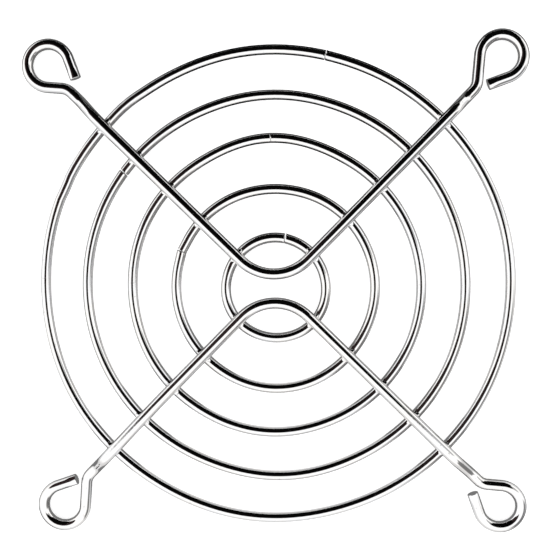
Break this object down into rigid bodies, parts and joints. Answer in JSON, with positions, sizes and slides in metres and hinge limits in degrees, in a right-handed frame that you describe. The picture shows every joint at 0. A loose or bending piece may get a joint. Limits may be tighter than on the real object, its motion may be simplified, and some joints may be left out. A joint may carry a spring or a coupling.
{
  "type": "wire fan guard",
  "caption": "Round wire fan guard: concentric rings welded under two V-shaped stays that step down to open screw eyes.",
  "frame": {"origin": "centre of the square of the four screw eyes, on the mounting face that the eyes lie on", "axes": "+Z away from the fan, square to the rings, towards the side that the stays lie on; +Y from the lower stay to the upper stay; +X and +Y along the sides of the hole square"},
  "size_m": [0.08, 0.08, 0.004],
  "materials": {
    "ring_wire": "bright plated drawn steel wire",
    "stay_wire": "bright plated drawn steel wire"
  },
  "bodies": {
    "root": {"ring_1": "ring_wire", "ring_2": "ring_wire", "ring_3": "ring_wire", "ring_4": "ring_wire", "ring_5": "ring_wire", "upper_stay": "stay_wire", "lower_stay": "stay_wire"}
  },
  "joints": []
}
